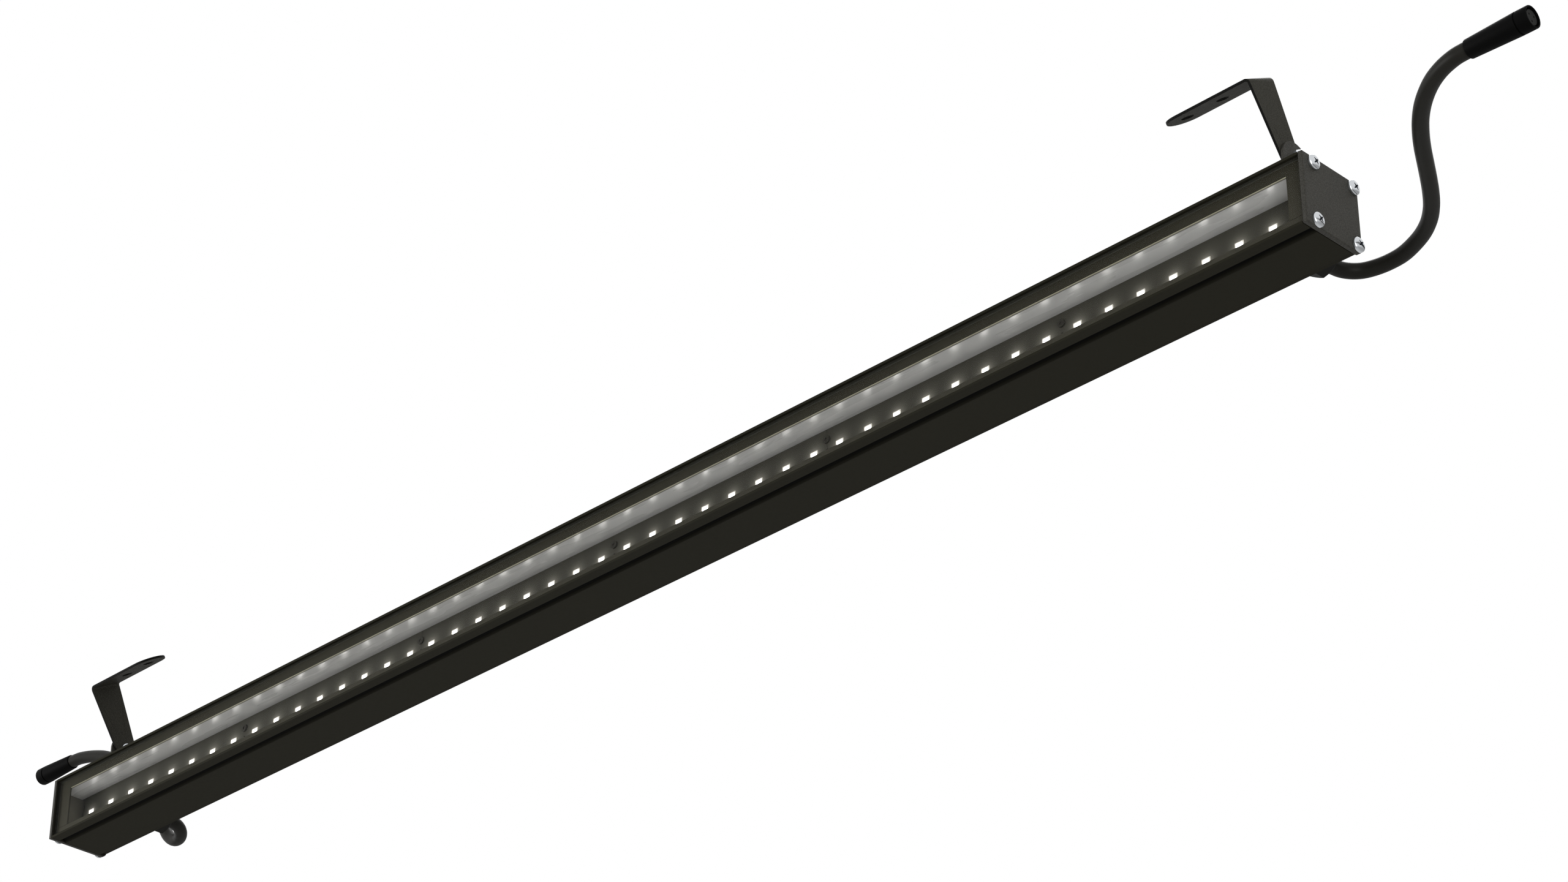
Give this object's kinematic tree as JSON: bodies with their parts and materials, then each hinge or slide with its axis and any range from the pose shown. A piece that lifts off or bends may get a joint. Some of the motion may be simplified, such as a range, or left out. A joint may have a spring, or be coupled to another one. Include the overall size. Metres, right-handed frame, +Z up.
{
  "type": "linear light fixture",
  "caption": "Long outdoor LED bar light with a glazed front, hung from two tilting sheet brackets, with a cable and round plug at each end.",
  "frame": {"origin": "on the mounting surface that the bracket feet lie against, at the fixture's mid-length, on the line of the mounting holes", "axes": "+X along the bar towards the socket connector, +Z up into the mounting surface, +Y towards the back of the bar, where the glands are"},
  "size_m": [1.2975, 0.1597, 0.1107],
  "materials": {
    "coated_aluminium": "matte",
    "coated_steel": "matte",
    "bright_steel": "polished",
    "clear_glass": "gloss",
    "black_rubber": "matte",
    "grey_rubber": "matte",
    "white_plastic": "matte",
    "board_aluminium": "matte",
    "led_white": "matte",
    "green_laminate": "satin",
    "black_plastic": "satin",
    "grey_nylon": "satin",
    "lead_sleeve": "satin",
    "cable_sheath": "satin",
    "brass_contact": "satin"
  },
  "bodies": {
    "brackets": {"bracket_left": "coated_steel", "bracket_right": "coated_steel"},
    "housing": {"housing_extrusion": "coated_aluminium", "end_plate_left": "coated_aluminium", "end_plate_right": "coated_aluminium", "end_gasket_left": "black_rubber", "end_gasket_right": "black_rubber", "end_screws_left": "bright_steel", "end_screws_right": "bright_steel", "front_glass": "clear_glass", "glass_gasket_top": "grey_rubber", "glass_gasket_bottom": "grey_rubber", "glass_gasket_left": "grey_rubber", "glass_gasket_right": "grey_rubber", "liner_top": "white_plastic", "liner_bottom": "white_plastic", "led_board_left": "board_aluminium", "led_board_middle": "board_aluminium", "led_board_right": "board_aluminium", "leds_left": "led_white", "leds_middle": "led_white", "leds_right": "led_white", "board_screws": "bright_steel", "board_links": "brass_contact", "control_board": "green_laminate", "control_spacers": "white_plastic", "control_screws": "bright_steel", "control_capacitors": "black_plastic", "control_inductor": "black_plastic", "control_driver_chip": "black_plastic", "terminal_left": "green_laminate", "terminal_right": "green_laminate", "led_feed_leads": "lead_sleeve", "cores_left": "lead_sleeve", "cores_right": "lead_sleeve", "lug_left": "coated_steel", "lug_right": "coated_steel", "lug_screws": "bright_steel", "pivot_bolts": "bright_steel", "pivot_washers": "white_plastic", "nut_washers": "bright_steel", "pivot_nuts": "bright_steel", "gland_bodies": "grey_nylon", "gland_seals": "black_rubber", "gland_nuts": "grey_nylon", "gland_locknuts": "brass_contact", "gland_grommets": "black_rubber", "cable_left": "cable_sheath", "cable_right": "cable_sheath", "connector_left": "black_plastic", "connector_right": "black_plastic", "contact_insert_left": "grey_nylon", "contact_insert_right": "grey_nylon", "contact_pins_left": "brass_contact", "contact_sockets_right": "brass_contact"}
  },
  "joints": [
    {"name": "tilt", "type": "hinge", "parent": "brackets", "child": "housing", "pos_m": [0, 0, -0.0455], "axis": [1, 0, 0], "range_deg": [-61.7, 118.3]}
  ]
}
